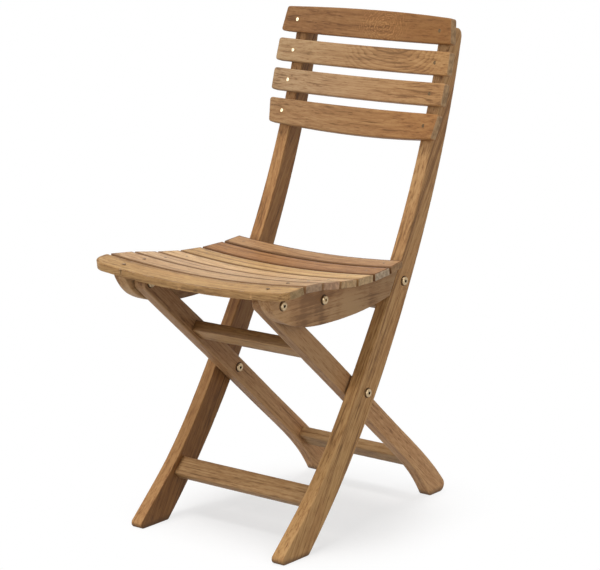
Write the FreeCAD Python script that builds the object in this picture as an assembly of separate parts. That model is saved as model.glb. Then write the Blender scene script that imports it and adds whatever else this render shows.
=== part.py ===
"""Folding side chair in wood: a back frame on two long curved rails, crossed short
legs, a dished slatted seat that swings up, and brass pivots. Millimetres, +Z up,
the sitter faces -Y, and the origin is on the floor under the middle of the chair."""

import os
from math import atan2, cos, degrees, hypot, pi, sin

import FreeCAD
import Part

V = FreeCAD.Vector
X_AXIS = V(1, 0, 0)

# Layers from the outside of the chair to the inside, along X
RAIL_OUTER = 168.0
RAIL_THICK = 24.0
LAYER_GAP = 4.0
LEG_THICK = 24.0
RAIL_INNER = RAIL_OUTER - RAIL_THICK
LEG_OUTER = RAIL_INNER - LAYER_GAP
LEG_INNER = LEG_OUTER - LEG_THICK
RAIL_MID = (RAIL_OUTER + RAIL_INNER) / 2

# Pivot axes (y, z), all parallel to X
CROSS_PIVOT = (0.8, 245.2)
LINK_BACK_PIVOT = (104.3, 420.9)
SEAT_PIVOT = (-225.0, 438.4)
LINK_SEAT_PIVOT = (-117.7, 428.8)

# Long rails: front and rear edge of the side outline, floor to top (y, z)
RAIL_FRONT = [(-244, 0), (-196.2, 45), (-149.8, 90), (-28.8, 249), (64.7, 400), (142.8, 551.5), (202.3, 703), (241.7, 842)]
RAIL_REAR = [(-161.2, 0), (-81.2, 90), (32, 249), (116, 400), (186, 551.5), (241, 703), (276, 837)]
ARRIS = 2.0

# Short legs: the same, floor to seat pivot
LEG_TOP_RADIUS = 16.0
LEG_FRONT = [(225, 0), (183, 56.5), (138, 99.5), (83, 147.5), (-31.3, 248.5), (-147.7, 349.5)]
LEG_REAR = [(283, 0), (234.6, 56.5), (134.5, 147.5), (21, 248.5), (-94, 349.5)]

# Seat
SEAT_LINE = [(-269, 459.2), (-222.5, 464), (-170.5, 460), (-116.7, 452.5), (-63.3, 446.7), (-10, 445.1), (84, 453)]
SLAT_PITCH = 53.4
SLAT_GAP = 6.0
SLAT_THICK = 12.5
FIRST_GAP_Y = -223.5
SEAT_FRONT_Y = -268.5
SEAT_REAR_Y = 84.0
SEAT_FRONT_HALF = 217.0
SEAT_REAR_HALF = 180.5
SEAT_CORNER = 27.0
DISH_RADIUS = 1830.0
SEAT_RAIL_LOWER = [(-261, 452.5), (-250, 434), (-233.5, 417), (-208.5, 403.5), (-168, 392), (-102, 387), (-20, 389.4)]
SEAT_RAIL_END_GAP = 1.2

# Back slats: height on the rail, width up the rail, half lengths, edge bows
BACK_SLATS = [
    (833.0, 45.0, 179.0, 186.0, 6.0, 0.0),
    (778.8, 41.0, 187.0, 188.5, 0.0, 0.0),
    (726.6, 40.0, 187.5, 186.5, 0.0, 0.0),
    (672.6, 44.2, 185.5, 178.0, 0.0, 5.0),
]
BACK_SLAT_THICK = 17.0
BACK_SAG = 16.0
BACK_SAG_HALF = 188.0

# Stretchers
STRETCHER_THICK = 18.0
STRETCHER_HEIGHT = 35.0
STRETCHER_SETBACK = 10.0
LOWER_STRETCHER_Z = 88.2
SEAT_STRETCHER_Z = 385.0
LEG_STRETCHER_THICK = 19.5
LEG_STRETCHER_HEIGHT = 34.0
LEG_STRETCHER_SETBACK = 7.5
UPPER_LEG_STRETCHER_Z = 332.4
LOWER_LEG_STRETCHER_Z = 76.5

# Brass
BOLT_HEAD_RADIUS = 7.4
BOLT_HEAD_HEIGHT = 4.0
HEAD_CHAMFER = 1.1
BOLT_RADIUS = 4.0
BOLT_SOCKET = 5.0
RUNNING_FIT = 0.06
SIDE_PLAY = 0.2
SPACER_RADIUS = 9.0
LINK_THICK = 3.0
LINK_HALF_WIDTH = 9.0
NUT_HEIGHT = 5.0
SCREW_HEAD_RADIUS = 3.6
SCREW_HEAD_DEPTH = 2.2
SCREW_RADIUS = 2.0


def mirrored(shape):
    """The same piece on the other side of the chair."""
    return shape.mirror(V(0, 0, 0), X_AXIS)


def spline(points, x):
    curve = Part.BSplineCurve()
    curve.interpolate([V(x, y, z) for y, z in points])
    return curve


def segment(a, b, x):
    return Part.makeLine(V(x, *a), V(x, *b))


def plate(x, thickness, edges):
    """A flat piece of the given thickness whose side outline is made of these edges."""
    wire = Part.Wire(Part.__sortEdges__(edges))
    return Part.Face(wire).extrude(V(thickness, 0, 0))


def eased(shape, radius, pick):
    """Rounds the edges that pick chooses."""
    edges = [edge for edge in shape.Edges if pick(edge)]
    return shape.makeFillet(radius, edges)


def cross_edge_at(point, reach=3.0):
    """Chooses the edge parallel to X that passes through a point (y, z)."""
    def pick(edge):
        a, b = edge.Vertexes[0].Point, edge.Vertexes[-1].Point
        near = hypot(a.y - point[0], a.z - point[1]) < reach
        return near and abs(a.y - b.y) + abs(a.z - b.z) < 0.01
    return pick


def on_side(edge):
    """True for an edge that lies in a plane of constant X."""
    box = edge.BoundBox
    return box.XLength < 0.01


def bore(shape, pivot, radius, x0=0.0, x1=200.0):
    """Drills along X through a piece at a pivot (y, z)."""
    return shape.cut(Part.makeCylinder(radius, x1 - x0, V(x0, *pivot), X_AXIS))


def point_at_height(points, z):
    """The point of an edge spline at height z, and its unit tangent going up."""
    curve = spline(points, 0)
    level = Part.LineSegment(V(0, -600, z), V(0, 600, z))
    hit = curve.intersect(level)[0]
    point = V(hit.X, hit.Y, hit.Z)
    tangent = V(*curve.tangent(curve.parameter(point))[0])
    if tangent.z < 0:
        tangent = tangent * -1
    return point, tangent


def seat_height(y):
    """Height of the seat's middle line at y."""
    curve = spline(SEAT_LINE, 0)
    plumb = Part.LineSegment(V(0, y, 300), V(0, y, 600))
    return curve.intersect(plumb)[0].Z


# Wooden pieces

def long_rail():
    front, rear = RAIL_FRONT, RAIL_REAR
    x = RAIL_INNER
    edges = [
        spline(front, x).toShape(),
        segment(front[-1], rear[-1], x),
        spline(rear, x).toShape(),
        segment(rear[0], front[0], x),
    ]
    rail = plate(x, RAIL_THICK, edges)
    rail = eased(rail, 14, cross_edge_at(rear[-1]))
    rail = eased(rail, 6, cross_edge_at(front[-1]))
    rail = eased(rail, 8, cross_edge_at(front[0]))
    rail = eased(rail, 7, cross_edge_at(rear[0]))
    rail = eased(rail, ARRIS, on_side)
    rail = bore(rail, CROSS_PIVOT, BOLT_RADIUS)
    return bore(rail, LINK_BACK_PIVOT, BOLT_RADIUS)


def leg_top():
    """Points on both edges of a short leg beside its top pivot, and the end of its round."""
    dy = CROSS_PIVOT[0] - SEAT_PIVOT[0]
    dz = CROSS_PIVOT[1] - SEAT_PIVOT[1]
    length = hypot(dy, dz)
    ey, ez = dy / length, dz / length
    r = LEG_TOP_RADIUS
    y, z = SEAT_PIVOT
    return (y + ez * r, z - ey * r), (y - ey * r, z - ez * r), (y - ez * r, z + ey * r)


def short_leg():
    side_front, end, side_rear = leg_top()
    x = LEG_INNER
    front = LEG_FRONT + [side_front]
    rear = LEG_REAR + [side_rear]
    edges = [
        spline(front, x).toShape(),
        Part.Arc(V(x, *side_front), V(x, *end), V(x, *side_rear)).toShape(),
        spline(rear, x).toShape(),
        segment(rear[0], front[0], x),
    ]
    leg = plate(x, LEG_THICK, edges)
    leg = eased(leg, 13, cross_edge_at(rear[0]))
    leg = eased(leg, 5, cross_edge_at(front[0]))
    leg = eased(leg, ARRIS, on_side)
    leg = bore(leg, CROSS_PIVOT, BOLT_RADIUS + RUNNING_FIT)
    return bore(leg, SEAT_PIVOT, BOLT_RADIUS + RUNNING_FIT)


def seat_rail():
    """Boat shaped side rail: round nose, deep belly, rear end cut to the slope of the
    long rail that it rests against."""
    x = RAIL_INNER
    low_z, high_z = 402.0, seat_height(SEAT_REAR_Y) - SLAT_THICK + 1
    low, _ = point_at_height(RAIL_FRONT, low_z)
    high, _ = point_at_height(RAIL_FRONT, high_z)
    low = (low.y - SEAT_RAIL_END_GAP, low_z)
    high = (high.y - SEAT_RAIL_END_GAP, high_z)
    rise = RAIL_INNER ** 2 / (2 * DISH_RADIUS) + 1 - SLAT_THICK
    top = [(y, z + rise) for y, z in SEAT_LINE[1:]]
    nose = SEAT_RAIL_LOWER[0]
    edges = [
        spline(SEAT_RAIL_LOWER + [low], x).toShape(),
        segment(low, high, x),
        segment(high, top[-1], x),
        spline([nose] + top, x).toShape(),
    ]
    rail = plate(x, RAIL_THICK, edges)
    rail = eased(rail, 3, on_side)
    rail = bore(rail, SEAT_PIVOT, BOLT_RADIUS)
    return bore(rail, LINK_SEAT_PIVOT, BOLT_RADIUS)


def seat_plan():
    """Vertical prism over the outline of the seat: narrower at the back, round in front."""
    f, r = SEAT_FRONT_HALF, SEAT_REAR_HALF
    corners = [V(-f, SEAT_FRONT_Y, 380), V(f, SEAT_FRONT_Y, 380), V(r, SEAT_REAR_Y, 380), V(-r, SEAT_REAR_Y, 380)]
    prism = Part.Face(Part.makePolygon(corners + corners[:1])).extrude(V(0, 0, 140))

    def front_corner(edge):
        a, b = edge.Vertexes[0].Point, edge.Vertexes[-1].Point
        return abs(a.y - SEAT_FRONT_Y) < 0.1 and hypot(a.x - b.x, a.y - b.y) < 0.1
    return eased(prism, SEAT_CORNER, front_corner)


def seat_slat(y0, y1, front_round):
    """One dished slat between y0 and y1, tilted along the line of the seat."""
    z0, z1 = seat_height(y0), seat_height(y1)
    run = hypot(y1 - y0, z1 - z0)
    half = SEAT_FRONT_HALF + 5
    lift = half ** 2 / (2 * DISH_RADIUS)
    low = V(0, 0, -SLAT_THICK)
    ends = V(-half, 0, lift), V(0, 0, 0), V(half, 0, lift)
    edges = [
        Part.Arc(*ends).toShape(),
        Part.Arc(*[p + low for p in ends]).toShape(),
        Part.makeLine(ends[0], ends[0] + low),
        Part.makeLine(ends[2], ends[2] + low),
    ]
    wire = Part.Wire(Part.__sortEdges__(edges))
    slat = Part.Face(wire).extrude(V(0, run, 0))
    front_radius = 4.0 if front_round else 2.5
    slat = eased(slat, front_radius, lambda e: e.BoundBox.XLength > 150 and e.BoundBox.YMax < 1)
    slat = eased(slat, 2.5, lambda e: e.BoundBox.XLength > 150 and e.BoundBox.YMin > run - 1)
    slat.rotate(V(0, 0, 0), X_AXIS, degrees(atan2(z1 - z0, y1 - y0)))
    slat.translate(V(0, y0, z0))
    return slat.common(seat_plan())


def back_slat(z, height, half_top, half_low, crown, bow):
    """One slat of the back: hollow towards the sitter, its ends cut to a barrel outline."""
    point, up = point_at_height(RAIL_FRONT, z)
    tilt = degrees(atan2(up.y, up.z))
    h = height / 2
    s, t, w = BACK_SAG, BACK_SLAT_THICK, BACK_SAG_HALF
    reach = w + 8
    end = s * (1 - (reach / w) ** 2)
    back = V(0, t, 0)
    face = V(-reach, end, 0), V(0, s, 0), V(reach, end, 0)
    edges = [
        Part.Arc(*face).toShape(),
        Part.Arc(*[p + back for p in face]).toShape(),
        Part.makeLine(face[0], face[0] + back),
        Part.makeLine(face[2], face[2] + back),
    ]
    board = Part.Face(Part.Wire(Part.__sortEdges__(edges))).extrude(V(0, 0, height + 30))
    board.translate(V(0, 0, -h - 15))
    corners = V(-half_low, -40, -h), V(half_low, -40, -h), V(half_top, -40, h), V(-half_top, -40, h)
    outline = [
        Part.makeLine(corners[1], corners[2]),
        Part.makeLine(corners[3], corners[0]),
    ]
    for a, b, middle in ((corners[0], corners[1], -h - bow), (corners[2], corners[3], h + crown)):
        if abs(middle) > h:
            outline.append(Part.Arc(a, V(0, -40, middle), b).toShape())
        else:
            outline.append(Part.makeLine(a, b))
    cutter = Part.Face(Part.Wire(Part.__sortEdges__(outline))).extrude(V(0, 120, 0))

    def corner(edge):
        return edge.BoundBox.YLength > 100
    cutter = eased(cutter, 5, corner)
    slat = board.common(cutter)

    def front_or_back(edge):
        return edge.BoundBox.YLength < 10 and edge.BoundBox.XLength > 100 or edge.BoundBox.XLength < 9
    slat = eased(slat, 2.5, front_or_back)
    at_rail = s * (1 - (RAIL_MID / w) ** 2) + t
    slat.translate(V(0, -at_rail, 0))
    slat.rotate(V(0, 0, 0), X_AXIS, -tilt)
    slat.translate(point)
    return slat


def stretcher(edge_points, z, half_length, thickness, height, setback, backwards):
    """A cross bar between two rails or legs. z is the height of its lower front edge,
    and its faces follow the slope of the member's edge there."""
    point, up = point_at_height(edge_points, z)
    inward = V(0, up.z, -up.y)
    base = point + inward * setback
    if backwards:
        up = up * -1
    a = base
    b = base + up * height
    c = b + inward * thickness
    d = a + inward * thickness
    shift = V(-half_length, 0, 0)
    face = Part.Face(Part.makePolygon([p + shift for p in (a, b, c, d, a)]))
    bar = face.extrude(V(2 * half_length, 0, 0))
    return eased(bar, ARRIS, lambda e: e.BoundBox.XLength > 10)


# Brass pieces

def rim_edge(disc, x):
    """The circle on the end of a disc that lies at x."""
    return [edge for edge in disc.Edges if abs(edge.CenterOfMass.x - x) < 0.01 and edge.Length > 20][0]


def head(x, pivot, outwards):
    """Round bolt head with a soft edge and a hexagon socket."""
    direction = X_AXIS if outwards else X_AXIS * -1
    disc = Part.makeCylinder(BOLT_HEAD_RADIUS, BOLT_HEAD_HEIGHT, V(x, *pivot), direction)
    far = x + BOLT_HEAD_HEIGHT * direction.x
    disc = disc.makeChamfer(HEAD_CHAMFER, [rim_edge(disc, far)])
    ring = []
    for i in range(7):
        angle = i * pi / 3
        y = pivot[0] + BOLT_SOCKET / 2 / cos(pi / 6) * cos(angle)
        z = pivot[1] + BOLT_SOCKET / 2 / cos(pi / 6) * sin(angle)
        ring.append(V(far, y, z))
    socket = Part.Face(Part.makePolygon(ring)).extrude(direction * -2.2)
    return disc.cut(socket)


def shank(x0, x1, pivot, radius=BOLT_RADIUS):
    return Part.makeCylinder(radius, x1 - x0, V(x0, *pivot), X_AXIS)


def pivot_bolt(pivot):
    """Bolt through the outer and the inner layer, with a head on both sides."""
    bolt = head(RAIL_OUTER, pivot, True)
    bolt = bolt.fuse(shank(LEG_INNER - SIDE_PLAY, RAIL_OUTER, pivot))
    return bolt.fuse(head(LEG_INNER - SIDE_PLAY, pivot, False)).removeSplitter()


def spacer(pivot):
    """Washer that keeps the two layers apart on a pivot bolt."""
    ring = shank(LEG_OUTER + SIDE_PLAY, RAIL_INNER, pivot, SPACER_RADIUS)
    return ring.cut(shank(LEG_OUTER, RAIL_INNER, pivot))


LINK_INNER = (LEG_OUTER + RAIL_INNER - LINK_THICK) / 2


def nut(pivot):
    """Round nut on the inner side of a link."""
    x = LINK_INNER - SIDE_PLAY
    disc = Part.makeCylinder(BOLT_HEAD_RADIUS, NUT_HEIGHT, V(x, *pivot), X_AXIS * -1)
    return disc.makeChamfer(HEAD_CHAMFER, [rim_edge(disc, x - NUT_HEIGHT)])


def link_seat_bolt():
    """Bolt through the seat rail and the link, with its nut."""
    bolt = head(RAIL_OUTER, LINK_SEAT_PIVOT, True)
    bolt = bolt.fuse(shank(LINK_INNER - SIDE_PLAY, RAIL_OUTER, LINK_SEAT_PIVOT))
    return bolt.fuse(nut(LINK_SEAT_PIVOT)).removeSplitter()


def link_back_bolt():
    """Bolt in the long rail, cut off flush at its inner face."""
    bolt = head(RAIL_OUTER, LINK_BACK_PIVOT, True)
    return bolt.fuse(shank(RAIL_INNER, RAIL_OUTER, LINK_BACK_PIVOT)).removeSplitter()


def link_back_stud():
    """Stud and nut in the rear eye of the link, in line with the bolt in the rail."""
    stud = shank(LINK_INNER - SIDE_PLAY, LINK_INNER + LINK_THICK, LINK_BACK_PIVOT)
    return stud.fuse(nut(LINK_BACK_PIVOT)).removeSplitter()


def link():
    """Flat bar between the two layers, round at both eyes."""
    (ya, za), (yb, zb) = LINK_SEAT_PIVOT, LINK_BACK_PIVOT
    length = hypot(yb - ya, zb - za)
    ny, nz = -(zb - za) / length * LINK_HALF_WIDTH, (yb - ya) / length * LINK_HALF_WIDTH
    ey, ez = (yb - ya) / length * LINK_HALF_WIDTH, (zb - za) / length * LINK_HALF_WIDTH
    x = LINK_INNER
    top_a, top_b = (ya + ny, za + nz), (yb + ny, zb + nz)
    low_a, low_b = (ya - ny, za - nz), (yb - ny, zb - nz)
    edges = [
        segment(top_a, top_b, x),
        Part.Arc(V(x, *top_b), V(x, yb + ey, zb + ez), V(x, *low_b)).toShape(),
        segment(low_b, low_a, x),
        Part.Arc(V(x, *low_a), V(x, ya - ey, za - ez), V(x, *top_a)).toShape(),
    ]
    bar = plate(x, LINK_THICK, edges)
    bar = bore(bar, LINK_SEAT_PIVOT, BOLT_RADIUS + RUNNING_FIT)
    return bore(bar, LINK_BACK_PIVOT, BOLT_RADIUS)


def screw(point, inward, length):
    """Countersunk wood screw, its head flush at point, driven along inward."""
    cone = Part.makeCone(SCREW_HEAD_RADIUS, SCREW_RADIUS, SCREW_HEAD_DEPTH, point, inward)
    body = Part.makeCylinder(SCREW_RADIUS, length - SCREW_HEAD_DEPTH, point + inward * SCREW_HEAD_DEPTH, inward)
    return cone.fuse(body).removeSplitter()


# Assembly

pieces = {}


def add_pair(name, shape):
    """A piece on the sitter's left side (+X) and its mirror image on the right."""
    pieces[name + "_left"] = shape
    pieces[name + "_right"] = mirrored(shape)


add_pair("long_rail", long_rail())
add_pair("rear_leg", short_leg())
add_pair("seat_rail", seat_rail())
add_pair("cross_bolt", pivot_bolt(CROSS_PIVOT))
add_pair("cross_spacer", spacer(CROSS_PIVOT))
add_pair("seat_bolt", pivot_bolt(SEAT_PIVOT))
add_pair("seat_spacer", spacer(SEAT_PIVOT))
add_pair("link_seat_bolt", link_seat_bolt())
add_pair("link_back_bolt", link_back_bolt())
add_pair("link_back_stud", link_back_stud())
add_pair("link", link())

pieces["front_stretcher"] = stretcher(
    RAIL_FRONT, LOWER_STRETCHER_Z, RAIL_INNER, STRETCHER_THICK, STRETCHER_HEIGHT, STRETCHER_SETBACK, False)
pieces["seat_stretcher"] = stretcher(
    RAIL_FRONT, SEAT_STRETCHER_Z, RAIL_INNER, STRETCHER_THICK, STRETCHER_HEIGHT, STRETCHER_SETBACK, False)
for name, z in (("upper", UPPER_LEG_STRETCHER_Z), ("lower", LOWER_LEG_STRETCHER_Z)):
    pieces["rear_leg_stretcher_" + name] = stretcher(
        LEG_FRONT + [leg_top()[0]], z, LEG_INNER, LEG_STRETCHER_THICK,
        LEG_STRETCHER_HEIGHT, LEG_STRETCHER_SETBACK, True)

# Seat slats, trimmed where they sit on the seat rails, each with a screw into both rails.
seat_rails = pieces["seat_rail_left"].fuse(pieces["seat_rail_right"])
gaps = [FIRST_GAP_Y + i * SLAT_PITCH for i in range(6)]
starts = [SEAT_FRONT_Y] + [y + SLAT_GAP / 2 for y in gaps]
stops = [y - SLAT_GAP / 2 for y in gaps] + [SEAT_REAR_Y]
for number, (y0, y1) in enumerate(zip(starts, stops), 1):
    slat = seat_slat(y0, y1, number == 1).cut(seat_rails)
    middle = (y0 + y1) / 2
    z = seat_height(middle) + RAIL_MID ** 2 / (2 * DISH_RADIUS)
    peg = screw(V(RAIL_MID, middle, z - 0.3), V(0, 0, -1), 30)
    hole = Part.makeCylinder(SCREW_HEAD_RADIUS, 3, V(RAIL_MID, middle, z - 0.3), V(0, 0, 1))
    for tool in (peg, hole):
        slat = slat.cut(tool).cut(mirrored(tool))
    for side in ("left", "right"):
        key = "seat_rail_" + side
        pieces[key] = pieces[key].cut(peg if side == "left" else mirrored(peg))
    pieces["seat_slat_%d" % number] = slat
    add_pair("seat_screw_%d" % number, peg)

# Back slats on the front edges of the long rails, one screw at each end.
for number, row in enumerate(BACK_SLATS, 1):
    slat = back_slat(*row)
    for side in ("left", "right"):
        slat = slat.cut(pieces["long_rail_" + side])
    point, up = point_at_height(RAIL_FRONT, row[0])
    inward = V(0, up.z, -up.y)
    start = point - inward * (BACK_SLAT_THICK - 0.4) + X_AXIS * RAIL_MID
    peg = screw(start, inward, 38)
    hole = Part.makeCylinder(SCREW_HEAD_RADIUS, 5, start, inward * -1)
    for tool in (peg, hole):
        slat = slat.cut(tool).cut(mirrored(tool))
    for side in ("left", "right"):
        key = "long_rail_" + side
        pieces[key] = pieces[key].cut(peg if side == "left" else mirrored(peg))
    pieces["back_slat_%d" % number] = slat
    add_pair("back_screw_%d" % number, peg)

os.makedirs("parts", exist_ok=True)
for name, shape in pieces.items():
    shape.exportStep("parts/%s.step" % name)
print(len(pieces), "pieces")
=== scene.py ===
"""Looks of a wooden folding side chair: the grain and wear of every board, the brass
bolts and screws, the floor, the light and the camera. Metres, +Z up, the sitter faces -Y."""

from math import atan2, cos, exp, pi, radians, sin

import bmesh
import bpy
from mathutils import Matrix, Vector, kdtree, noise

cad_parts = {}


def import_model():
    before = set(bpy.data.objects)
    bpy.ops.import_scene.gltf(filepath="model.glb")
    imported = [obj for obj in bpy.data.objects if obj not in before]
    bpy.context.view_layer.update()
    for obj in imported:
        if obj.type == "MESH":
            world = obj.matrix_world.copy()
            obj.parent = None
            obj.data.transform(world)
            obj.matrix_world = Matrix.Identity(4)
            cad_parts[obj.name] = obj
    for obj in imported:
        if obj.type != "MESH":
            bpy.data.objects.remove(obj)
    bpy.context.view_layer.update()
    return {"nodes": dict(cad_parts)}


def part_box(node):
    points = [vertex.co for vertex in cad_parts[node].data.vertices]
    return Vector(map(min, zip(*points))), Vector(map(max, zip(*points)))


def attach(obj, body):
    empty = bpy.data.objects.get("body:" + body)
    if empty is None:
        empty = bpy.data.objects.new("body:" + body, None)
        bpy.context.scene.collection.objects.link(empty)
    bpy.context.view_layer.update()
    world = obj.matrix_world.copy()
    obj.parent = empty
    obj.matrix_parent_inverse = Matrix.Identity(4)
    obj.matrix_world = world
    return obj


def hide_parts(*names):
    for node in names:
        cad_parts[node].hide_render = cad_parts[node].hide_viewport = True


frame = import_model()

X_AXIS = Vector((1, 0, 0))
Y_AXIS = Vector((0, 1, 0))
Z_AXIS = Vector((0, 0, 1))
WHITE = (1, 1, 1)

# Places of the pivots as (y, z), and as x of the faces that their heads lie on
CROSS_PIVOT = (0.0008, 0.2452)
SEAT_PIVOT = (-0.225, 0.4384)
LINK_SEAT_PIVOT = (-0.1177, 0.4288)
LINK_BACK_PIVOT = (0.1043, 0.4209)
RAIL_OUTSIDE = 0.168
LEG_INSIDE = 0.116

# Mesh of a board
CELL = 0.008                    # spacing of the cuts across it
OUTLINE_STEP = 0.004            # and of the points round it
WELD = 0.000002
LOOP_WELD = 0.0002
CUT_HEIGHT = 0.7                # where the outline is taken, as a part of the thickness
CUT_TOLERANCE = 0.0001
GENTLE_TURN = radians(6)
SHARP_TURN = radians(50)
SMOOTHING_PASSES = 4
SMOOTH_SHADING = radians(40)
BROAD_FACING = 0.5              # least cosine between a broad face and the way it looks
END_FACING = 0.8                # and the same for an end and for the top of a screw

# The slats bend by these times the square of the distance from their middle
SEAT_BEND = 0.2732
BACK_BEND = 0.4527

# Rounded edges, and their wear and painted light
ARRIS = 0.002
ARRIS_SEGMENTS = 3
FRONT_SLAT_ARRIS = 0.004
SEAT_ARRIS = 0.003
BACK_SLAT_ARRIS = 0.0025
WEAR_AND_EDGE_LIGHT_REACH = 0.0022
WAVE_SCALE = 70
WAVE_HEIGHT = 0.00008
NICK_SCALE = 160
NICK_LEVEL = 0.25
NICK_DEPTH = 0.0009

# Bolts
HEAD_RADIUS = 0.0074
HEAD_HEIGHT = 0.004
HEAD_ROUND = 0.0019
HEAD_SEGMENTS = 48
ROUND_SEGMENTS = 4
SOCKET = 0.005                  # across the flats
SOCKET_FACE = 0.0031
SOCKET_DEPTH = 0.0022
SOCKET_NARROWING = 0.97
SHANK_RADIUS = 0.004
SHANK_SEGMENTS = 24

# Screws
SCREW_HEAD_RADIUS = 0.0032
SCREW_HEAD_PROUD = 0.0007
SCREW_HEAD_ROUND = 0.0004
SCREW_FACE = 0.0021
SCREW_SHANK_RADIUS = 0.002
CROSS_CORE = 0.0005
CROSS_ARM = 0.0013
CROSS_SHARPNESS = 3
CROSS_DEPTH = 0.0012
CROSS_NARROWING = 0.7
RIM_TOLERANCE = 0.0001


# Shader nodes

class Value:
    """An output of a node. The arithmetic on it adds Math nodes."""

    def __init__(self, nodes, output):
        self.nodes = nodes
        self.output = output

    def __add__(self, other):
        return self.nodes.maths("ADD", self, other)

    def __sub__(self, other):
        return self.nodes.maths("SUBTRACT", self, other)

    def __rsub__(self, other):
        return self.nodes.maths("SUBTRACT", other, self)

    def __mul__(self, other):
        return self.nodes.maths("MULTIPLY", self, other)

    def __pow__(self, other):
        return self.nodes.maths("POWER", self, other)

    __radd__ = __add__


class Nodes:
    """A node tree to which each call adds nodes and returns their output."""

    def __init__(self, tree):
        self.tree = tree

    def feed(self, socket, value):
        if isinstance(value, Value):
            self.tree.links.new(value.output, socket)
        else:
            socket.default_value = value

    def node(self, kind, settings, inputs, output=0):
        """Any node: its settings first, then the values or links of its sockets."""
        node = self.tree.nodes.new("ShaderNode" + kind)
        for key, value in settings.items():
            setattr(node, key, value)
        for key, value in inputs.items():
            self.feed(node.inputs[key], value)
        return Value(self, node.outputs[output])

    def maths(self, operation, *terms):
        return self.node("Math", {"operation": operation}, dict(enumerate(terms)))

    def vector_maths(self, operation, *terms, output=0):
        settings = {"operation": operation}
        return self.node("VectorMath", settings, dict(enumerate(terms)), output)

    def attribute(self, name):
        return self.node("Attribute", {"attribute_name": name}, {}, "Fac")

    def noise(self, point, scale, stretch=(1, 1, 1), detail=2.0):
        """Noise between about 0 and 1, finer along an axis where stretch is larger."""
        placed = self.node("Mapping", {}, {"Vector": point, "Scale": stretch})
        return self.node("TexNoise", {}, {"Vector": placed, "Scale": scale, "Detail": detail})

    def step(self, value, low, high):
        """0 below low, 1 above high and smooth between."""
        settings = {"interpolation_type": "SMOOTHSTEP"}
        inputs = {"Value": value, "From Min": low, "From Max": high}
        return self.node("MapRange", settings, inputs)

    def mix(self, factor, first, second):
        """Blends two colours."""
        return self.node("Mix", {"data_type": "RGBA"}, {0: factor, 6: first, 7: second}, 2)

    def distance(self, point, centre):
        return self.vector_maths("LENGTH", self.vector_maths("SUBTRACT", point, centre), output=1)

    def height(self, point):
        return self.node("SeparateXYZ", {}, {"Vector": point}, "Z")


class Finish(Nodes):
    """A material, as the nodes in front of its principled shader."""

    def __init__(self, name):
        self.material = bpy.data.materials.new(name)
        self.material.use_nodes = True
        super().__init__(self.material.node_tree)
        self.surface = self.tree.nodes["Principled BSDF"].inputs


def weighed(weights, **marks):
    """The plain level and every mark times its weight, added up."""
    total = weights["plain"]
    for mark, value in marks.items():
        total = total + value * weights[mark]
    return total


def tinted(colour, tint):
    return tuple(part * by for part, by in zip(colour, tint))


def rgba(colour, strength=1.0):
    return tuple(part * strength for part in colour) + (1.0,)


# Wood

# Noise in the axes of a board: scale, stretch and detail, and for marks with a border
# the two levels between which they come in. A small stretch draws a mark out.
GRAIN = {
    "wander": (5.0, (1, 1, 0.45), 1.0),
    "ripple": (28.0, (1, 1, 0.12), 2.0),
    "spacing": (90.0, (1, 1, 0.02), 1.0),
    "clear rings": (14.0, (1, 1, 0.15), 1.0, 0.3, 0.72),
    "fibre": (700.0, (1, 1, 0.012), 3.0),
    "coarse": (160.0, (1, 1, 0.02), 3.0),
    "fleck": (270.0, (1, 1, 0.16), 2.0),
    "pore": (1500.0, (1, 1, 0.045), 1.0, 0.60, 0.72),
    "dash": (420.0, (1, 1, 0.12), 1.0, 0.58, 0.70),
    "streak": (55.0, (1, 1, 0.03), 3.0, 0.56, 0.74),
    "line": (230.0, (1, 1, 0.022), 1.0, 0.56, 0.68),
    "blotch": (9.0, (1, 1, 0.5), 2.0),
    "patch": (24.0, (0.3, 1, 0.9), 2.0),
    "wear_and_highlight": (40.0, (1, 1, 0.25), 3.0, 0.35, 0.7),
    "warm": (18.0, (1, 1, 0.2), 2.0, 0.4, 0.75),
    "mottle": (130.0, (1, 1, 0.3), 3.0, 0.35, 0.65),
    "smear": (45.0, (1, 1, 0.2), 2.0),
    "whorl wave": (60.0, (1, 1, 1), 2.0),
    "whorl break": (260.0, (1, 1, 1), 1.0, 0.42, 0.56),
}
SEED_SHIFT = (1.37, 2.11, 0.73)

# Growth rings: how far they wander, and the part of each ring that is late wood, which
# has fewer pores
RING_WANDER = 0.016
RING_RIPPLE = 0.004
RING_SPACING = 1.1
LATE_WOOD = (0.25, 0.93)
LATE_WOOD_PORE_LOSS = 0.6

# Where a board swells, the rings bow. They show within a reach and close round a heart
SWELL_BOW = 2.5
SWELL_REACH = (0.07, 0.13)
SWELL_HEART = (0.029, 0.033)

WHORL_STRETCH = 1.3
WHORL_RINGS = 190
WHORL_WAVE = 4.0
WHORL_DASH = (0.45, 0.75)
WHORL_REACH = (0.02, 0.075)
WHORL_STRENGTH = 0.62
WHORL_LIGHT = 1.6

# A board's tone runs from 0, light, to 1, dark. TONE, ROUGHNESS and RELIEF hold the plain
# level and what each mark adds to it.
TONE = {"plain": 0.26, "ring": 0.6, "coarse": 1.2, "fibre": 0.9, "dash": 0.3, "end": 0.12,
        "pore": 0.5}
# Edges are lighter from wear and from a painted highlight
WEAR_AND_HIGHLIGHT_LEAST = 0.4
GAP_SHADE_TONE = (0.26, 0.52)
ROUGHNESS = {"plain": 0.46, "smear": 0.16, "pore": 0.12, "end": 0.2, "worn": -0.05}
RELIEF = {"plain": 0.0, "fibre": 0.5, "coarse": 0.35, "late": 0.25, "pore": -0.9}
RELIEF_STRENGTH = 0.5
RELIEF_DEPTH = 0.0003
WOOD_SPECULAR = 0.22
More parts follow.
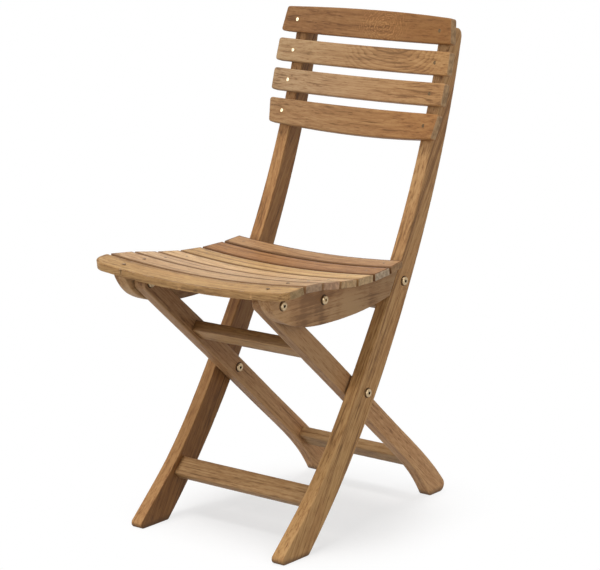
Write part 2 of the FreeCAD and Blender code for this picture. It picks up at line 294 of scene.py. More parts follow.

# Colours of the tones, as parts of a board's mean colour or of each other. The levels of
# the painted shade round the bolt heads and of the darkening at the feet are parts of the dark
# tone.
LIGHT_TONE = (1.22, 1.22, 1.22)
DARK_TONE = (0.50, 0.42, 0.36)
MIDDLE_SHARES = (0.55, 0.45)
MIDDLE_TINT = (1.05, 0.98, 0.92)
LIGHT_TO_MIDDLE = (0.0, 0.55)
MIDDLE_TO_DARK = (0.45, 1.0)
WARM_TINT = (0.92, 0.72, 0.6)
WARM_STRENGTH = 0.22
END_MIX = 0.75
END_MOTTLE = (0.7, 1.25)
END_TINT_REACH = (-0.2, 0.2)
# Painted shade on faces that look one way, deeper close to the floor
SHADE_TINT = (0.42, 0.35, 0.24)
SHADE_FACING = (0.4, 0.8)
LOW_SHADE = 0.3
LOW_SHADE_HEIGHT = (0.05, 0.35)
# Painted shade along the edges of the seat slats, for the gaps between them
GAP_SHADE_TINT = (0.6, 0.5, 0.4)
GAP_SHADE_REACH = (0.3, 0.56)
GAP_SHADE_MIX = 0.35
# Painted shade round the bolt heads, in the gap under each head
BOLT_SHADE_REACH = 0.0088
BOLT_SHADE_EDGE = (0.93, 1.06)
BOLT_SHADE_LEVEL = 0.12
# Darker towards the bottom of the feet
FEET_DARK_HEIGHT = (0.001, 0.012)
FEET_DARK_UNEVENNESS = 0.012
FEET_DARK_MIX = 0.75
FEET_DARK_LEVEL = 0.4


def teak(red, green, blue, **look):
    """The look of a board from its mean colour, with the two tones its grain runs between."""
    mean = (red, green, blue)
    return dict(look, light=tinted(mean, LIGHT_TONE), dark=tinted(mean, DARK_TONE))


def wood(name, axes, seed, light, dark, pith, tilt, rings=260.0, contrast=1.0, streaks=0.5,
         blotches=0.5, lines=0.3, flecks=1.2, patches=0.0, swell=None, whorl=None,
         edges=-0.35, seams=0.0, butt=None, ends=None, shaded=None, scuffs=False, holes=()):
    """Oiled teak cut from a log. The growth rings are shells round a pith line that runs
    beside the board, so faces, edges and ends all show the cut that they really have.

    pith is where that line passes the board, across and through it, and tilt its slant.
    rings counts the rings of a metre. contrast, streaks, blotches, lines, flecks and
    patches are the strengths of marks. swell and whorl are places along the board.
    edges is what wear and a painted highlight add to the tone of an edge, and seams lays a
    painted shade along the edges, for the gaps between slats. butt is the colour of the end
    grain, and ends tints the two ends, which on the legs and the back slats is partly painted
    light. shaded holds a direction and how much painted shade darkens the faces that look that
    way, and holes holds the middles of the bolt heads, round which painted shade darkens the
    wood."""
    finish = Finish("teak " + name)
    place = finish.node("TexCoord", {}, {}, "Object")
    lie = {"Vector": place, "Location": axes.translation, "Rotation": axes.to_euler()}
    board = finish.node("Mapping", {"vector_type": "TEXTURE"}, lie)
    own = finish.vector_maths("ADD", board, tuple(seed * part for part in SEED_SHIFT))
    split = finish.node("SeparateXYZ", {}, {"Vector": board}).output.node
    across, through, along = (Value(finish, output) for output in split.outputs)

    def grain(mark):
        scale, stretch, detail, *levels = GRAIN[mark]
        found = finish.noise(own, scale, stretch, detail)
        return finish.step(found, *levels) if levels else found

    dx = across - pith[0] + (grain("wander") - 0.5) * RING_WANDER
    dy = through - pith[1] - along * tilt + (grain("ripple") - 0.5) * RING_RIPPLE
    if swell is not None:
        dy = dy + (along - swell) ** 2 * SWELL_BOW
    radius = finish.maths("SQRT", dx * dx + dy * dy)
    count = radius * rings + (grain("spacing") - 0.5) * RING_SPACING
    phase = finish.maths("FRACT", count)
    late = finish.step(phase, *LATE_WOOD) * (1 - finish.step(phase, LATE_WOOD[1], 1.0))
    if swell is None:
        ring = late * grain("clear rings")
    else:
        reach = finish.maths("ABSOLUTE", along - swell)
        heart = 1 - finish.step(radius, *SWELL_HEART)
        ring = late * (1 - finish.step(reach, *SWELL_REACH)) + heart

    fibre = grain("fibre")
    coarse = grain("coarse")
    blotch = grain("blotch") - 0.5
    pores = grain("pore") * (1 - late * LATE_WOOD_PORE_LOSS)
    # Closeness to the arrises: wear, a painted edge highlight and a painted gap shade follow it
    worn = finish.attribute("worn")
    end = finish.attribute("end")
    tone = weighed(TONE, ring=ring * contrast, coarse=coarse - 0.5, fibre=fibre - 0.5,
                   dash=grain("dash"), end=end, pore=pores)
    tone = tone + (grain("fleck") - 0.5) * flecks
    tone = tone + grain("streak") * streaks + grain("line") * lines + blotch * blotches
    if patches:
        tone = tone + (grain("patch") - 0.5) * patches
    # Edges lighter from wear and from a painted highlight
    wear_and_highlight = worn * (WEAR_AND_HIGHLIGHT_LEAST + grain("wear_and_highlight") * (1 - WEAR_AND_HIGHLIGHT_LEAST)) * (1 - end)
    tone = tone + wear_and_highlight * edges
    # Painted shade in the tone along the edges, for the gaps between slats
    if seams:
        tone = tone + finish.step(worn, *GAP_SHADE_TONE) * (1 - end) * seams
    tone = finish.node("Clamp", {}, {"Value": tone})

    both = (a * MIDDLE_SHARES[0] + b * MIDDLE_SHARES[1] for a, b in zip(light, dark))
    middle = rgba(tinted(both, MIDDLE_TINT))
    colour = finish.mix(finish.step(tone, *LIGHT_TO_MIDDLE), rgba(light), middle)
    colour = finish.mix(finish.step(tone, *MIDDLE_TO_DARK), colour, rgba(dark))
    colour = finish.mix(grain("warm") * WARM_STRENGTH, colour, rgba(tinted(light, WARM_TINT)))
    if whorl is not None:
        dashes = whorl_dashes(finish, grain, across, along - whorl)
        colour = finish.mix(dashes * WHORL_STRENGTH, colour, rgba(light, WHORL_LIGHT))
    if ends:
        fade = finish.mix(finish.step(along, *END_TINT_REACH), rgba(ends[0]), rgba(ends[1]))
        colour = finish.vector_maths("MULTIPLY", colour, fade)
    if butt:
        mottled = finish.mix(grain("mottle"), *(rgba(butt, level) for level in END_MOTTLE))
        colour = finish.mix(end * END_MIX, colour, mottled)
    # Painted shade on the faces that look one way, for the shade under the seat
    if shaded:
        colour = finish.vector_maths("MULTIPLY", colour, shade(finish, place, *shaded))
    # Painted shade in the colour along the edges, for the gaps between slats
    if seams:
        gap_shade_mask = finish.step(worn, *GAP_SHADE_REACH) * (1 - end) * (seams * GAP_SHADE_MIX)
        colour = finish.mix(gap_shade_mask, colour, rgba(tinted(dark, GAP_SHADE_TINT)))
    # Painted shade round every bolt head
    if holes:
        colour = finish.mix(bolt_gap_shade(finish, place, holes), colour, rgba(dark, BOLT_SHADE_LEVEL))
    # Darker towards the bottom of the feet
    if scuffs:
        height = finish.height(place) + blotch * FEET_DARK_UNEVENNESS
        feet_darkening = FEET_DARK_MIX - finish.step(height, *FEET_DARK_HEIGHT) * FEET_DARK_MIX
        colour = finish.mix(feet_darkening, colour, rgba(dark, FEET_DARK_LEVEL))
    finish.feed(finish.surface["Base Color"], colour)

    roughness = weighed(ROUGHNESS, smear=grain("smear"), pore=pores, end=end, worn=worn)
    finish.feed(finish.surface["Roughness"], roughness)
    relief = weighed(RELIEF, fibre=fibre, coarse=coarse, late=late, pore=pores)
    bump = {"Height": relief, "Strength": RELIEF_STRENGTH, "Distance": RELIEF_DEPTH}
    finish.feed(finish.surface["Normal"], finish.node("Bump", {}, bump))
    finish.surface["Specular IOR Level"].default_value = WOOD_SPECULAR
    return finish.material


def whorl_dashes(finish, grain, across, along):
    """1 in short dashes on rings round a spot, as in wood cut through a swelling."""
    away = finish.maths("SQRT", (across * WHORL_STRETCH) ** 2 + along ** 2)
    wavy = away * WHORL_RINGS + (grain("whorl wave") - 0.5) * WHORL_WAVE
    dash = finish.step(finish.maths("FRACT", wavy), *WHORL_DASH)
    return dash * grain("whorl break") * (1 - finish.step(away, *WHORL_REACH))


def shade(finish, place, x, y, z, amount):
    """A painted shade: a darker tint for faces that look towards (x, y, z), darker still close to
    the floor.
    """
    normal = finish.node("TexCoord", {}, {}, "Normal")
    alike = finish.vector_maths("DOT_PRODUCT", normal, (x, y, z), output=1)
    raised = finish.step(finish.height(place), *LOW_SHADE_HEIGHT)
    amount = finish.step(alike, *SHADE_FACING) * (amount + LOW_SHADE - raised * LOW_SHADE)
    return finish.mix(amount, rgba(WHITE), rgba(SHADE_TINT))


def bolt_gap_shade(finish, place, holes):
    """1 under every bolt head and in the gap round it, where a painted shade darkens the wood."""
    total = 0
    low, high = (BOLT_SHADE_REACH * part for part in BOLT_SHADE_EDGE)
    for centre in holes:
        total = total + (1 - finish.step(finish.distance(place, centre), low, high))
    return total


# Boards

def broadest(node, facing, least):
    """The largest polygon of a node that looks one way, within a least cosine."""
    polygons = frame["nodes"][node].data.polygons
    found = (p for p in polygons if p.normal.dot(facing) > least)
    return max(found, key=lambda polygon: polygon.area)


def board_axes(node, along, facing):
    """The axes of a board: X across it, Y through its thickness and Z along its grain."""
    low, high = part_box(node)
    broad = broadest(node, facing, BROAD_FACING)
    along = along.normalized()
    through = broad.normal - along * broad.normal.dot(along)
    through.normalize()
    across = through.cross(along)
    turn = Matrix((across, through, along)).transposed()
    return Matrix.Translation((low + high) / 2) @ turn.to_4x4()


def outline(node, axes, bend):
    """The edge of a board as a closed loop, taken clear of the screw holes that run in
    the middle of its thickness, and the places of its two faces, with its bend taken out."""
    loop = bmesh.new()
    loop.from_mesh(frame["nodes"][node].data)
    bmesh.ops.remove_doubles(loop, verts=loop.verts, dist=WELD)
    bmesh.ops.transform(loop, matrix=axes.inverted(), verts=loop.verts)
    for vert in loop.verts:
        vert.co.y -= bend * vert.co.z ** 2
    low = min(vert.co.y for vert in loop.verts)
    high = max(vert.co.y for vert in loop.verts)
    everything = loop.verts[:] + loop.edges[:] + loop.faces[:]
    cut = low + (high - low) * CUT_HEIGHT
    bmesh.ops.bisect_plane(loop, geom=everything, plane_co=(0, cut, 0), plane_no=(0, 1, 0),
                           clear_inner=True, clear_outer=True)
    bmesh.ops.remove_doubles(loop, verts=loop.verts, dist=LOOP_WELD)
    keep_longest(loop)
    for edge in loop.edges[:]:
        cuts = int(edge.calc_length() / OUTLINE_STEP)
        if cuts:
            bmesh.ops.subdivide_edges(loop, edges=[edge], cuts=cuts)
    gentle = [vert for vert in loop.verts if turn_at(vert) < GENTLE_TURN]
    for _ in range(SMOOTHING_PASSES):
        bmesh.ops.smooth_vert(loop, verts=gentle, factor=0.5,
                              use_axis_x=True, use_axis_y=False, use_axis_z=True)
    return loop, low, high


def keep_longest(loop):
    """Deletes all but the longest chain of edges, so that bolt holes go."""
    left = set(loop.verts)
    chains = []
    while left:
        chain, reach = set(), [left.pop()]
        while reach:
            vert = reach.pop()
            chain.add(vert)
            found = {edge.other_vert(vert) for edge in vert.link_edges} & left
            left -= found
            reach += found
        chains.append(chain)

    def spread(chain):
        return sum(edge.calc_length() for vert in chain for edge in vert.link_edges)
    chains.sort(key=spread)
    for chain in chains[:-1]:
        bmesh.ops.delete(loop, geom=list(chain), context="VERTS")


def turn_at(vert):
    """How far a loop turns at a vertex, as an angle."""
    a, b = (edge.other_vert(vert).co - vert.co for edge in vert.link_edges)
    return pi - a.angle(b)


def plank(node, axes, bend, arris, butted):
    """A straight board with rounded arrises and a fine even mesh, in its own axes, and
    the places of the arrises. Those round a butted board's ends stay sharp."""
    board, low, high = outline(node, axes, bend)
    for vert in board.verts:
        vert.co.y = low
    face = bmesh.ops.contextual_create(board, geom=board.edges[:])["faces"]
    grown = bmesh.ops.extrude_face_region(board, geom=face)["geom"]
    top = [part for part in grown if isinstance(part, bmesh.types.BMVert)]
    bmesh.ops.translate(board, verts=top, vec=(0, high - low, 0))
    bmesh.ops.recalc_face_normals(board, faces=board.faces)
    sharp = [edge for edge in board.edges if edge.calc_face_angle(0) > SHARP_TURN]
    if butted:
        sharp = [edge for edge in sharp
                 if abs(edge.verts[0].co.z - edge.verts[1].co.z) > CELL / 10]
    arrises = kdtree.KDTree(len(sharp) * 3)
    for i, edge in enumerate(sharp):
        a, b = (vert.co.copy() for vert in edge.verts)
        for j, point in enumerate((a, (a + b) / 2, b)):
            arrises.insert(point, i * 3 + j)
    arrises.balance()
    bmesh.ops.bevel(board, geom=sharp, offset=arris, offset_type="OFFSET", affect="EDGES",
                    segments=ARRIS_SEGMENTS, profile=0.5, material=-1, clamp_overlap=True)
    for axis, normal in enumerate((X_AXIS, Y_AXIS, Z_AXIS)):
        start = min(vert.co[axis] for vert in board.verts)
        stop = max(vert.co[axis] for vert in board.verts)
        count = int((stop - start) / CELL)
        for i in range(1, count):
            everything = board.verts[:] + board.edges[:] + board.faces[:]
            bmesh.ops.bisect_plane(board, geom=everything, dist=CUT_TOLERANCE, plane_no=normal,
                                   plane_co=normal * (start + (stop - start) * i / count))
    return board, arrises


def dressed(node, body, slot, along, facing, seed, bend=0.0, arris=ARRIS, butted=False,
            **look):
    """Replaces a board of the frame by its finished form, a little uneven and nicked."""
    axes = board_axes(node, along, facing)
    board, arrises = plank(node, axes, bend, arris, butted)
    # Closeness to the arrises, which the wear, the painted edge highlight and the painted gap
    # shade follow
    worn = board.verts.layers.float.new("worn")
    end = board.verts.layers.float.new("end")
    board.normal_update()
    for vert in board.verts:
        distance = arrises.find(vert.co)[2]
        vert[worn] = exp(-distance / WEAR_AND_EDGE_LIGHT_REACH)
        vert[end] = 1.0 if abs(vert.normal.z) > END_FACING else 0.0
        wave = noise.noise(vert.co * WAVE_SCALE + Vector((seed, 0, 0)))
        nick = noise.noise(vert.co * NICK_SCALE + Vector((0, seed, 0))) - NICK_LEVEL
        nick = max(0.0, nick) * vert[worn]
        vert.co += vert.normal * (wave * WAVE_HEIGHT - nick * NICK_DEPTH)
    for vert in board.verts:
        vert.co.y += bend * vert.co.z ** 2
    bmesh.ops.transform(board, matrix=axes, verts=board.verts)
    low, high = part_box(node)
    for vert in board.verts:
        vert.co = Vector(min(max(part, a), b) for part, a, b in zip(vert.co, low, high))
    bmesh.ops.recalc_face_normals(board, faces=board.faces)
    piece = placed(board, "wood_" + node, wood(node, axes, seed, **look))
    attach(piece, body)
    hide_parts(node)


def placed(shape, name, material):
    """A finished mesh as an object at the origin, smooth except over sharp edges."""
    mesh = bpy.data.meshes.new(name)
    shape.to_mesh(mesh)
    shape.free()
    mesh.materials.append(material)
    for polygon in mesh.polygons:
        polygon.use_smooth = True
    mesh.set_sharp_from_angle(angle=SMOOTH_SHADING)
    piece = bpy.data.objects.new(name, mesh)
    bpy.context.scene.collection.objects.link(piece)
    return piece


def heads(face, *pivots):
    """The middles of the bolt heads on one face of a board and of its twin."""
    return [(x, *pivot) for x in (face, -face) for pivot in pivots]


# The boards of the chair, each with its mean colour. The slats run from the front of the
# seat to its rear and from the top of the back down.

SEAT_LOOKS = [
    ("front_slat", teak(0.455, 0.287, 0.122, pith=(0.01, -0.05), tilt=0.03, contrast=0.4,
                        streaks=0.2, seams=0.4, butt=(0.27, 0.19, 0.10))),
    ("pale_slat", teak(0.525, 0.345, 0.182, pith=(0.02, -0.09), tilt=0.02, contrast=0.4,
                       streaks=0.4, seams=1.1, butt=(0.34, 0.23, 0.15))),
    ("pale_slat", teak(0.610, 0.425, 0.245, pith=(0.10, -0.02), tilt=0.02, contrast=0.4,
                       streaks=0.4, seams=1.1, butt=(0.41, 0.24, 0.15))),
    ("pale_slat", teak(0.655, 0.445, 0.235, pith=(0.08, -0.05), tilt=0.03, contrast=0.5,
                       streaks=0.4, seams=1.1, butt=(0.38, 0.25, 0.13))),
    ("yellow_slat", teak(0.600, 0.405, 0.185, pith=(0.09, -0.03), tilt=0.02, contrast=0.6,
                         streaks=0.4, seams=1.1, butt=(0.40, 0.28, 0.16),
                         ends=((0.92, 0.88, 0.85), (1.0, 1.0, 1.0)))),
    ("red_slat", teak(0.350, 0.180, 0.068, pith=(0.05, -0.04), tilt=0.04, contrast=0.5,
                      streaks=0.5, seams=1.1, butt=(0.46, 0.37, 0.26))),
    ("red_slat", teak(0.395, 0.232, 0.110, pith=(0.02, -0.05), tilt=0.05, contrast=0.9,
                      streaks=0.6, seams=1.1, butt=(0.30, 0.18, 0.09))),
]
# The back slats' ends at -X are greyer with a painted sheen; their ends at +X are warmer in tone
BACK_ENDS = ((0.98, 1.06, 1.20), (1.02, 0.95, 0.83))
BACK_BUTT = (0.38, 0.25, 0.135)
BACK_LOOKS = [
    ("top_slat", teak(0.245, 0.125, 0.048, pith=(0.03, -0.06), tilt=0.02, contrast=0.3,
                      streaks=0.4, whorl=0.028,
                      ends=((1.03, 1.03, 1.03), (0.98, 0.90, 0.70)))),
    ("back_slat", teak(0.365, 0.220, 0.100, pith=(0.024, -0.0215), tilt=0.0, rings=200.0,
                       streaks=0.3, contrast=0.7, swell=0.064, ends=BACK_ENDS)),
    ("back_slat", teak(0.360, 0.220, 0.105, pith=(0.12, -0.03), tilt=0.01, contrast=0.5,
                       streaks=0.5, lines=0.5, ends=BACK_ENDS)),
    ("back_slat", teak(0.315, 0.172, 0.069, pith=(0.05, -0.08), tilt=0.03, contrast=0.3,
                       streaks=0.3, ends=BACK_ENDS)),
]
SEAT_FLECKS = 1.0
BACK_FLECKS = 0.6
RAIL_LOOK = teak(0.350, 0.187, 0.072, lines=0.4, pith=(0.06, -0.03), tilt=0.015,
                 contrast=0.45, scuffs=True,
                 holes=heads(RAIL_OUTSIDE, CROSS_PIVOT, LINK_BACK_PIVOT))
# On the legs the ends tint is painted light, lighter low down and darker at the top under the
# seat, and the edges get a strong painted highlight
LEG_LOOK = teak(0.370, 0.212, 0.098, edges=-0.8, pith=(0.05, -0.04), tilt=0.015,
                contrast=0.45, scuffs=True, ends=((1.25, 1.25, 1.25), (0.82, 0.83, 0.83)),
                holes=heads(LEG_INSIDE, CROSS_PIVOT, SEAT_PIVOT))
SEAT_RAIL_LOOK = teak(0.362, 0.221, 0.106, pith=(0.04, -0.05), tilt=0.03, contrast=0.3,
                      streaks=0.2, lines=0.1, flecks=0.7, blotches=0.6, patches=3.2,
                      ends=((1.06, 1.06, 1.06), (0.72, 0.71, 0.70)),
                      holes=heads(RAIL_OUTSIDE, SEAT_PIVOT, LINK_SEAT_PIVOT))
STRETCHER_LOOK = teak(0.345, 0.208, 0.092, edges=0.0, pith=(0.05, -0.03), tilt=0.02,
                      contrast=0.3, streaks=0.3)

# The left rail is paler. The inner faces of the rails and the upper leg stretcher, under the
# seat, get a painted shade.
LEFT_RAIL_ENDS = ((1.12, 1.22, 1.25), (1.05, 1.13, 1.22))
RAIL_SHADE = 0.5
UPPER_STRETCHER_SHADE = (0, -0.7, 0.7, 0.85)

for number, (slot, look) in enumerate(SEAT_LOOKS, 1):
    dressed("seat_slat_%d" % number, "seat", slot, X_AXIS, Z_AXIS, number, SEAT_BEND,
            FRONT_SLAT_ARRIS if number == 1 else SEAT_ARRIS, flecks=SEAT_FLECKS, **look)

for number, (slot, look) in enumerate(BACK_LOOKS, 1):
    dressed("back_slat_%d" % number, "back_frame", slot, X_AXIS, -Y_AXIS, 10 + number,
            BACK_BEND, BACK_SLAT_ARRIS, butt=BACK_BUTT, flecks=BACK_FLECKS, **look)

for side, inwards, seed, ends in (("left", -1, 20, LEFT_RAIL_ENDS), ("right", 1, 30, None)):
    low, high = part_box("long_rail_" + side)
    rising = Vector((0, high.y - low.y, high.z - low.z))
    dressed("long_rail_" + side, "back_frame", "rail", rising, X_AXIS, seed,
            shaded=(inwards, 0, 0, RAIL_SHADE), ends=ends, **RAIL_LOOK)
    low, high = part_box("rear_leg_" + side)
    falling = Vector((0, low.y - high.y, high.z - low.z))
    dressed("rear_leg_" + side, "rear_legs", "leg", falling, X_AXIS, seed + 1, **LEG_LOOK)
    dressed("seat_rail_" + side, "seat", "rail", Y_AXIS, X_AXIS, seed + 2, arris=SEAT_ARRIS,
            **SEAT_RAIL_LOOK)

for name, body, facing, seed, shading in (
        ("front_stretcher", "back_frame", -Y_AXIS, 41, None),
        ("seat_stretcher", "back_frame", -Y_AXIS, 42, None),
        ("rear_leg_stretcher_upper", "rear_legs", Y_AXIS, 43, UPPER_STRETCHER_SHADE),
        ("rear_leg_stretcher_lower", "rear_legs", Y_AXIS, 44, None)):
    dressed(name, body, "stretcher", X_AXIS, facing, seed, butted=True, shaded=shading,
            **STRETCHER_LOOK)


# Brass

TARNISH = (350.0, (1, 1, 1), 3.0)
TARNISH_LEVELS = (0.45, 0.7)
TURNING_MARKS = (3000.0, (1, 1, 1), 2.0)
BRASS_ROUGHNESS = {"plain": 0.27, "tarnish": 0.2, "marks": 0.08}
MARKS_STRENGTH = 0.2
MARKS_DEPTH = 0.0001


def brass(name, bright, dull):
    """Satin brass with fine turning marks and a little tarnish."""
    finish = Finish(name)
    place = finish.node("TexCoord", {}, {}, "Object")
    tarnish = finish.step(finish.noise(place, *TARNISH), *TARNISH_LEVELS)
    marks = finish.noise(place, *TURNING_MARKS)
    finish.feed(finish.surface["Base Color"], finish.mix(tarnish, rgba(bright), rgba(dull)))
    finish.surface["Metallic"].default_value = 1.0
    roughness = weighed(BRASS_ROUGHNESS, tarnish=tarnish, marks=marks)
    finish.feed(finish.surface["Roughness"], roughness)
    bump = {"Height": marks, "Strength": MARKS_STRENGTH, "Distance": MARKS_DEPTH}
    finish.feed(finish.surface["Normal"], finish.node("Bump", {}, bump))
    return finish.material


BRASS = brass("satin brass", (0.50, 0.38, 0.23), (0.34, 0.24, 0.13))
# Lit and shaded copies of the brass for the screws: a painted glint, a painted shade and a
# painted dark reflection
GLINT_BRASS = brass("brass with a painted glint", (0.90, 0.76, 0.50), (0.75, 0.58, 0.34))
SHADED_BRASS = brass("brass with a painted shade", (0.24, 0.15, 0.08), (0.14, 0.085, 0.045))
DARK_REFLECTION_BRASS = brass("brass with a painted dark reflection", (0.10, 0.065, 0.035), (0.05, 0.032, 0.02))
# Near-black brass as painted shade in the sockets and cross recesses
HOLLOW_SHADE = brass("painted shade in a recess", (0.020, 0.014, 0.009), (0.010, 0.007, 0.005))


def turned(radius, face, height, edge):
    """A disc on the origin with its rounded side up at Z = height, and the round face of
    radius face in the middle of that side."""
    disc = bmesh.new()
    bmesh.ops.create_cone(disc, cap_ends=True, segments=HEAD_SEGMENTS, radius1=radius,
                          radius2=radius, depth=height)
    bmesh.ops.translate(disc, verts=disc.verts, vec=(0, 0, height / 2))
    top = max(disc.faces, key=lambda part: part.calc_center_median().z)
    bmesh.ops.bevel(disc, geom=top.edges[:], offset=edge, offset_type="OFFSET",
                    affect="EDGES", segments=ROUND_SEGMENTS, profile=0.5, material=-1)
    top = max(disc.faces, key=lambda part: part.calc_center_median().z)
    bmesh.ops.inset_region(disc, faces=[top], thickness=radius - edge - face, depth=0)
    return disc, top


def recessed(disc, face, ring, depth, narrowing):
    """Sinks a recess whose edge is ring(angle) from the axis. Its bottom and walls take the
    second material, a painted shade.
    """
    for vert in face.verts:
        reach = ring(atan2(vert.co.y, vert.co.x))
        flat = Vector((vert.co.x, vert.co.y, 0)).normalized() * reach
        vert.co.x, vert.co.y = flat.x, flat.y
    sunk = bmesh.ops.extrude_discrete_faces(disc, faces=[face])["faces"][0]
    for vert in sunk.verts:
        vert.co.z -= depth
        vert.co.x *= narrowing
        vert.co.y *= narrowing
        for wall in vert.link_faces:
            wall.material_index = 1
    bmesh.ops.recalc_face_normals(disc, faces=disc.faces)


def hexagon(angle):
    """Distance from the centre of a hexagon to its edge."""
    return SOCKET / 2 / cos((angle % (pi / 3)) - pi / 6)


def cross(angle):
    """Distance from the centre of a cross recess to its edge."""
    return CROSS_CORE + CROSS_ARM * max(0.0, cos(4 * angle)) ** CROSS_SHARPNESS


def rod(shape, radius, start, stop):
    """Adds a plain cylinder along Z."""
    bmesh.ops.create_cone(shape, cap_ends=True, segments=SHANK_SEGMENTS, radius1=radius,
                          radius2=radius, depth=abs(stop - start),
                          matrix=Matrix.Translation((0, 0, (start + stop) / 2)))


def bolt_head():
    """A head with its hexagon socket up."""
    disc, top = turned(HEAD_RADIUS, SOCKET_FACE, HEAD_HEIGHT, HEAD_ROUND)
    recessed(disc, top, hexagon, SOCKET_DEPTH, SOCKET_NARROWING)
    return disc


def along_x(shape, centre, outwards):
    """Turns a shape from +Z to +X or -X and sets it on a pivot."""
    turn = Matrix.Rotation(radians(90 if outwards else -90), 4, "Y")
    bmesh.ops.transform(shape, matrix=Matrix.Translation(centre) @ turn, verts=shape.verts)


def joined(target, extra):
    """Adds one bmesh to another."""
    mesh = bpy.data.meshes.new("part")
    extra.to_mesh(mesh)
    extra.free()
    target.from_mesh(mesh)
    bpy.data.meshes.remove(mesh)


def bolt(node, body, two_heads):
    """A pivot bolt: a socket head outside and, where it has two, another one inside."""
    low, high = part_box(node)
    middle = (low + high) / 2
    left = middle.x > 0
    outer = high.x - HEAD_HEIGHT if left else low.x + HEAD_HEIGHT
    inner = low.x if left else high.x
    shape = bolt_head()
    along_x(shape, Vector((outer, middle.y, middle.z)), left)
    if two_heads:
        inner += HEAD_HEIGHT if left else -HEAD_HEIGHT
        second = bolt_head()
        along_x(second, Vector((inner, middle.y, middle.z)), not left)
        joined(shape, second)
    shank = bmesh.new()
    rod(shank, SHANK_RADIUS, 0.0, abs(outer - inner))
    along_x(shank, Vector((inner, middle.y, middle.z)), left)
    joined(shape, shank)
    piece = placed(shape, "brass_" + node, BRASS)
    piece.data.materials.append(HOLLOW_SHADE)
    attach(piece, body)
    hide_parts(node)


for side in ("left", "right"):
    bolt("cross_bolt_" + side, "back_frame", True)
    bolt("seat_bolt_" + side, "seat", True)
    bolt("link_back_bolt_" + side, "back_frame", False)
    for name in ("cross_spacer", "seat_spacer", "link_seat_bolt", "link_back_stud", "link"):
        node = frame["nodes"][name + "_" + side]
        node.data.materials.clear()
        node.data.materials.append(BRASS)


def screw(node, body, facing, material):
    """A countersunk wood screw whose head stands a little proud of the slat."""
    mesh = frame["nodes"][node].data
    up = broadest(node, facing, END_FACING).normal
    level = max(vert.co.dot(up) for vert in mesh.vertices)
    depth = level - min(vert.co.dot(up) for vert in mesh.vertices)
    rim = [vert.co for vert in mesh.vertices if vert.co.dot(up) > level - RIM_TOLERANCE]
    centre = sum(rim, Vector()) / len(rim)
    shape, top = turned(SCREW_HEAD_RADIUS, SCREW_FACE, SCREW_HEAD_PROUD, SCREW_HEAD_ROUND)
    recessed(shape, top, cross, CROSS_DEPTH, CROSS_NARROWING)
    rod(shape, SCREW_SHANK_RADIUS, -depth, 0.0)
    turn = up.to_track_quat("Z", "Y").to_matrix().to_4x4()
    bmesh.ops.transform(shape, matrix=Matrix.Translation(centre) @ turn, verts=shape.verts)
    piece = placed(shape, "brass_" + node, material)
    piece.data.materials.append(HOLLOW_SHADE)
    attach(piece, body)
    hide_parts(node)


# The screws' colours are painted reflections: a glint on the back's right, a darker shade on the
# seat and dark on the back's left
for number in range(1, len(SEAT_LOOKS) + 1):
    for side in ("left", "right"):
        screw("seat_screw_%d_%s" % (number, side), "seat", Z_AXIS, SHADED_BRASS)
for number in range(1, len(BACK_LOOKS) + 1):
    screw("back_screw_%d_left" % number, "back_frame", -Y_AXIS, DARK_REFLECTION_BRASS)
    screw("back_screw_%d_right" % number, "back_frame", -Y_AXIS, GLINT_BRASS)


# Floor, light and camera

FLOOR_SIZE = 60
FLOOR_TONE = 0.5                # of the light that it throws back on the chair
FLOOR_ROUGHNESS = 0.9
SHADOW_CENTRE = (0.03, 0.0, 0)
SHADOW_REACH = (0.14, 0.38)
SHADOW_GLOW = 0.6               # share of plain white in the middle of the shadow
AMBIENT = 0.22

# Azimuth, elevation, strength and softness. Azimuth 0 is the front of the chair, 90 its left.
LAMPS = {
    "top": (-10, 75, 1.85, 28),
    "front": (-20, 10, 1.55, 60),
    "side": (75, 12, 1.25, 60),
    "rear": (200, 22, 0.5, 60),
}

CAMERA_PLACE = (2.5002, -3.1032, 1.3082)
CAMERA_TURN = radians(38.602)
CAMERA_DIP = radians(12.644)
CAMERA_ROLL = radians(-0.403)
CAMERA_LENS = 142.416
CAMERA_SENSOR = 36
CAMERA_SHIFT = (0.0009, -0.0044)
CAMERA_REACH = 100


def seen(nodes):
    """1 for rays from the camera and for mirror and glass rays."""
    rays = [nodes.node("LightPath", {}, {}, "Is %s Ray" % kind)
            for kind in ("Camera", "Glossy", "Transmission")]
    return rays[0] + rays[1] + rays[2]


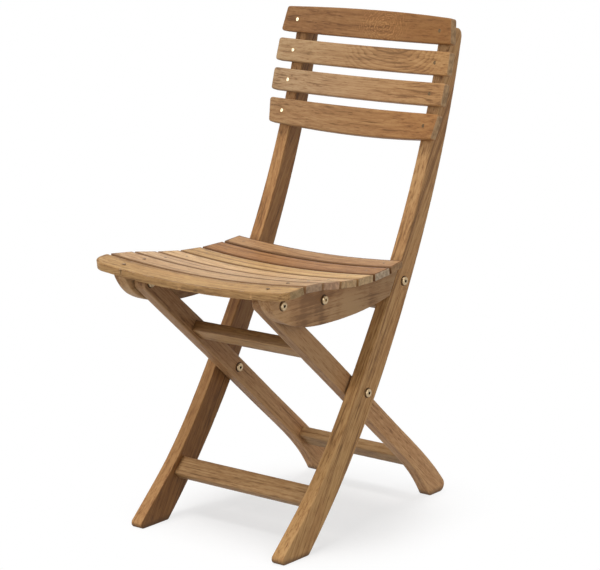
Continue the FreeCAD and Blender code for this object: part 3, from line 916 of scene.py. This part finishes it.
def floor():
    """A plain floor, white where it is seen, that keeps the soft shadow under the chair.
    It is clear from below, so that the underside of the chair can be looked at."""
    finish = Finish("white floor")
    look = seen(finish)
    tone = finish.mix(look, rgba(WHITE, FLOOR_TONE), rgba(WHITE))
    finish.feed(finish.surface["Base Color"], tone)
    finish.surface["Roughness"].default_value = FLOOR_ROUGHNESS
    finish.surface["Specular IOR Level"].default_value = 0.0
    away = finish.distance(finish.node("TexCoord", {}, {}, "Object"), SHADOW_CENTRE)
    white = look * (SHADOW_GLOW + finish.step(away, *SHADOW_REACH) * (1 - SHADOW_GLOW))
    plain = Value(finish, finish.tree.nodes["Principled BSDF"].outputs[0])
    glow = finish.node("Emission", {}, {})
    above = finish.node("MixShader", {}, {0: white, 1: plain, 2: glow})
    behind = finish.node("NewGeometry", {}, {}, "Backfacing")
    clear = finish.node("BsdfTransparent", {}, {})
    both = finish.node("MixShader", {}, {0: behind, 1: above, 2: clear})
    finish.feed(finish.tree.nodes["Material Output"].inputs["Surface"], both)
    shape = bmesh.new()
    bmesh.ops.create_grid(shape, x_segments=1, y_segments=1, size=FLOOR_SIZE)
    piece = placed(shape, "floor", finish.material)


def world():
    """Even white surroundings, pure white where they are seen."""
    sky = bpy.data.worlds.new("studio")
    bpy.context.scene.world = sky
    sky.use_nodes = True
    nodes = Nodes(sky.node_tree)
    background = sky.node_tree.nodes["Background"].inputs
    background["Color"].default_value = rgba(WHITE)
    levels = {"Value": seen(nodes), "To Min": AMBIENT, "To Max": 1.0}
    nodes.feed(background["Strength"], nodes.node("MapRange", {}, levels))


def lamp(name, azimuth, elevation, strength, softness):
    """A distant soft lamp."""
    light = bpy.data.lights.new(name, "SUN")
    light.energy = strength
    light.angle = radians(softness)
    piece = bpy.data.objects.new(name, light)
    a, e = radians(azimuth), radians(elevation)
    source = Vector((sin(a) * cos(e), -cos(a) * cos(e), sin(e)))
    piece.rotation_euler = source.to_track_quat("Z", "Y").to_euler()
    bpy.context.scene.collection.objects.link(piece)
    return piece


def camera():
    """The photograph's point of view: a long lens from the chair's left front."""
    turn, dip, roll = CAMERA_TURN, CAMERA_DIP, CAMERA_ROLL
    back = Vector((sin(turn) * cos(dip), -cos(turn) * cos(dip), sin(dip)))
    level = Vector((cos(turn), sin(turn), 0))
    right = level * cos(roll) + back.cross(level) * sin(roll)
    axes = Matrix((right, back.cross(right), back)).transposed().to_4x4()
    data = bpy.data.cameras.new("camera")
    data.sensor_width = CAMERA_SENSOR
    data.lens = CAMERA_LENS
    data.shift_x, data.shift_y = CAMERA_SHIFT
    data.clip_end = CAMERA_REACH
    view = bpy.data.objects.new("camera", data)
    view.matrix_world = Matrix.Translation(CAMERA_PLACE) @ axes
    bpy.context.scene.collection.objects.link(view)
    bpy.context.scene.camera = view


floor()
world()
lamps = {name: lamp(name, *row) for name, row in LAMPS.items()}
# The rear lamp gives no sheen
lamps["rear"].visible_glossy = False
camera()
bpy.context.scene.view_settings.view_transform = "Standard"
